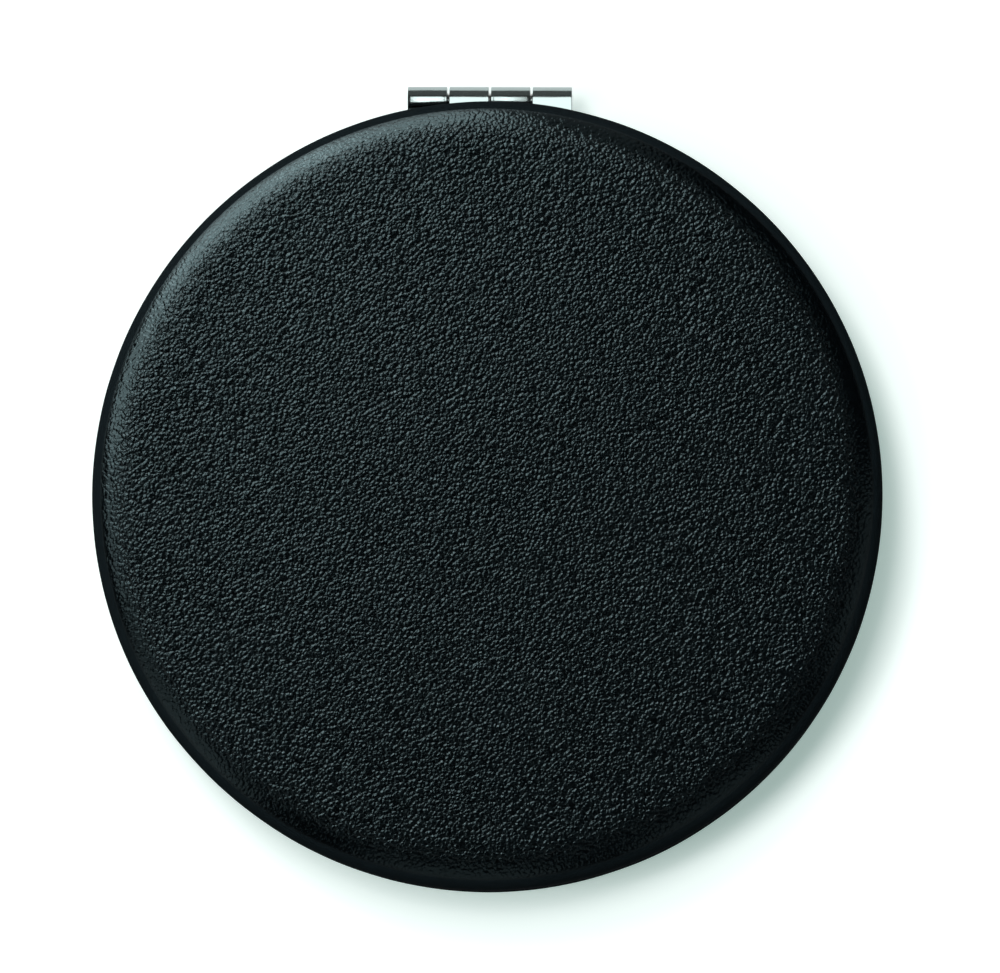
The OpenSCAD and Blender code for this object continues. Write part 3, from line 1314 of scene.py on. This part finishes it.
def lamp(name, azimuth, elevation, away, width, height, radiance, aim=(0, 0, 0), gloss=True):
    """An area lamp, for gloss alone or for matt surfaces alone, that looks at a place from a
    direction in degrees and from a distance. The place is given from the lid's middle."""
    a, e = math.radians(azimuth), math.radians(elevation)
    direction = Vector((math.cos(a) * math.cos(e), math.sin(a) * math.cos(e), math.sin(e)))
    data = bpy.data.lights.new(name, "AREA")
    data.shape = "RECTANGLE"
    data.size, data.size_y = width, height
    data.energy = radiance * math.pi * width * height
    source = linked(name, data)
    source.location = Vector((0, 0, CASE_H)) + Vector(aim) + direction * away
    source.rotation_mode = "QUATERNION"
    source.rotation_quaternion = (-direction).to_track_quat("-Z", "Y")
    source.visible_camera = False
    source.visible_glossy = gloss
    source.visible_diffuse = not gloss
    return source


def lit_alone(name, endings, sources):
    """Lets lamps light only the pieces whose names have the given endings."""
    pieces = bpy.data.collections.new(name)
    for piece in bpy.context.scene.collection.objects:
        if piece.name.endswith(endings):
            pieces.objects.link(piece)
    for source in sources:
        source.light_linking.receiver_collection = pieces


def floor_material(studio):
    """A pale matt floor that turns white in full light and keeps the case's shadow."""
    material = bpy.data.materials.new("pale_floor")
    material.use_nodes = True
    tree = material.node_tree
    tree.nodes.clear()
    matt = tree.nodes.new("ShaderNodeBsdfDiffuse")
    matt.inputs["Color"].default_value = (*studio.floor, 1)
    glow = tree.nodes.new("ShaderNodeEmission")
    glow.inputs["Color"].default_value = (*studio.floor_glow, 1)
    path = tree.nodes.new("ShaderNodeLightPath")
    tree.links.new(path.outputs["Is Camera Ray"], glow.inputs["Strength"])
    both = tree.nodes.new("ShaderNodeAddShader")
    out = tree.nodes.new("ShaderNodeOutputMaterial")
    tree.links.new(matt.outputs[0], both.inputs[0])
    tree.links.new(glow.outputs[0], both.inputs[1])
    tree.links.new(both.outputs[0], out.inputs["Surface"])
    material.cycles.emission_sampling = "NONE"
    return material


def studio_world(studio):
    """White behind the floor, and a soft fill that the case's gloss hardly shows."""
    world = bpy.data.worlds.new("studio")
    world.use_nodes = True
    bpy.context.scene.world = world
    tree = world.node_tree
    back = tree.nodes["Background"]
    path = tree.nodes.new("ShaderNodeLightPath")
    strength = tree.nodes.new("ShaderNodeMath")
    strength.operation = "MAXIMUM"
    tree.links.new(path.outputs["Is Camera Ray"], strength.inputs[0])
    strength.inputs[1].default_value = studio.surround
    tree.links.new(strength.outputs[0], back.inputs["Strength"])
    back.inputs["Color"].default_value = (1, 1, 1, 1)
    world.cycles.sampling_method = "NONE"


def photo_camera(studio):
    """Puts the disc at its place and size in the picture."""
    data = bpy.data.cameras.new("photo_camera")
    camera = linked("photo_camera", data)
    bpy.context.scene.camera = camera
    px_per_m = DISC_R / CASE_R
    middle = Vector((0, 0, CASE_H / 2))
    data.sensor_fit = "HORIZONTAL"
    data.sensor_width = 36
    data.lens = data.sensor_width * px_per_m * studio.camera_away / PHOTO_W
    lean, side = studio.camera_lean, studio.camera_side
    back = Vector(
        (math.sin(lean) * math.sin(side), -math.sin(lean) * math.cos(side), math.cos(lean))
    )
    right = Vector((0, 1, 0)).cross(back).normalized()
    up = back.cross(right)
    roll = Matrix.Rotation(studio.camera_roll, 3, back)
    right, up = roll @ right, roll @ up
    target = middle - right * ((DISC_X - PHOTO_W / 2) / px_per_m)
    target += up * ((DISC_Y - PHOTO_H / 2) / px_per_m)
    turn = Matrix((right, up, back)).transposed().to_4x4()
    camera.matrix_world = Matrix.Translation(target + back * studio.camera_away) @ turn
    data.clip_start, data.clip_end = 0.05, 10


def floor_sheet(studio):
    """The pale floor under the case."""
    mesh = bpy.data.meshes.new("floor")
    corners = [(x * FLOOR_REACH, y * FLOOR_REACH, 0) for x, y in ((-1, -1), (1, -1), (1, 1), (-1, 1))]
    mesh.from_pydata(corners, [], [(0, 1, 2, 3)])
    floor = linked("floor", mesh)
    floor.data.materials.append(floor_material(studio))


def light_leather(studio):
    """Softboxes round the case, and a dim panel over it, for the leather's gloss."""
    boxes = [
        lamp(name, azimuth, elevation, GLOSS_AWAY, GLOSS_SIZE, GLOSS_SIZE, share * studio.gloss)
        for name, azimuth, elevation, share in GLOSS_LAMPS
    ]
    boxes.append(
        lamp("overhead", 125, 68, away=0.085, width=0.06, height=0.06, radiance=studio.overhead)
    )
    lit_alone("leather_light", "_leather", boxes)


def light_hinge(studio):
    """A dim panel behind the hinge, and strips over its knuckles."""
    hinge = Vector((0, AXIS.y, AXIS.z - CASE_H))
    haze = lamp("hinge_haze", 90, 24, 0.12, 0.3, 0.12, studio.haze, hinge)
    lit_alone("hinge_light", ("_leaf", "_rod"), [haze])
    for name, leaf, x, width, share in HINGE_STRIPS:
        over = hinge + Vector((x, 0, 0))
        radiance = share * studio.strip
        strip = lamp(name, 90, ALMOST_ABOVE, STRIP_AWAY, width, STRIP_DEPTH, radiance, over)
        lit_alone(f"{name}_light", leaf, [strip])


def light_mirrors(studio):
    """A room of plain panels, which the mirrors and rings show when the case is open."""
    away, side = ROOM_SIDE / 2, ROOM_SIDE
    panels = [lamp("mirror_panel", 90, 90, away, side, side, studio.panel)]
    for azimuth in (0, 90, 180, 270):
        name = f"mirror_wall_{azimuth}"
        panels.append(lamp(name, azimuth, 0, away, side, side, WALL_SHARE * studio.panel))
    lit_alone("mirror_light", ("_glass", "_ring"), panels)


def light_floor(studio):
    """The ceiling panel and the lamps that cast the case's shadow, for matt surfaces."""
    lamp("ceiling", 90, 90, 0.7, 1.2, 1.2, studio.ceiling, gloss=False)
    size = SHADOW_SIZE
    for name, azimuth, elevation, share in SHADOW_LAMPS:
        radiance = share * studio.fill
        lamp(name, azimuth, elevation, SHADOW_AWAY, size, size, radiance, gloss=False)


class COMPACT_OT_studio(Operator):
    """Sets the floor, the lamps, the world and the camera"""

    bl_idname = "compact.studio"
    bl_label = "Studio"

    def execute(self, context):
        studio = context.scene.compact_studio
        floor_sheet(studio)
        light_leather(studio)
        light_hinge(studio)
        light_mirrors(studio)
        light_floor(studio)
        studio_world(studio)
        photo_camera(studio)
        context.scene.view_settings.view_transform = "Standard"
        return {"FINISHED"}


class COMPACT_PT_panel(Panel):
    """Lists the steps that make the compact mirror"""

    bl_idname = "COMPACT_PT_panel"
    bl_label = "Compact mirror"
    bl_space_type = "VIEW_3D"
    bl_region_type = "UI"
    bl_category = "Compact"

    def draw(self, context):
        for step in OPERATORS:
            self.layout.operator(step.bl_idname)
        for name, kind in GROUPS.items():
            box = self.layout.box()
            for value in kind.__annotations__:
                box.prop(getattr(context.scene, name), value)


OPERATORS = (
    COMPACT_OT_leather,
    COMPACT_OT_foam,
    COMPACT_OT_hinge,
    COMPACT_OT_rivets,
    COMPACT_OT_rings,
    COMPACT_OT_mirrors,
    COMPACT_OT_inner_parts,
    COMPACT_OT_studio,
)
GROUPS = {
    "compact_sizes": CompactSizes,
    "compact_finish": CompactFinish,
    "compact_studio": CompactStudio,
}
CLASSES = (*GROUPS.values(), *OPERATORS, COMPACT_PT_panel)


def register():
    for cls in CLASSES:
        bpy.utils.register_class(cls)
    for name, group in GROUPS.items():
        setattr(bpy.types.Scene, name, PointerProperty(type=group))


def unregister():
    for name in GROUPS:
        delattr(bpy.types.Scene, name)
    for cls in reversed(CLASSES):
        bpy.utils.unregister_class(cls)


def main():
    register()
    bpy.ops.compact.leather()
    bpy.ops.compact.foam()
    bpy.ops.compact.hinge()
    bpy.ops.compact.rivets()
    bpy.ops.compact.rings()
    bpy.ops.compact.mirrors()
    bpy.ops.compact.inner_parts()
    bpy.ops.compact.studio()


if __name__ == "__main__":
    main()
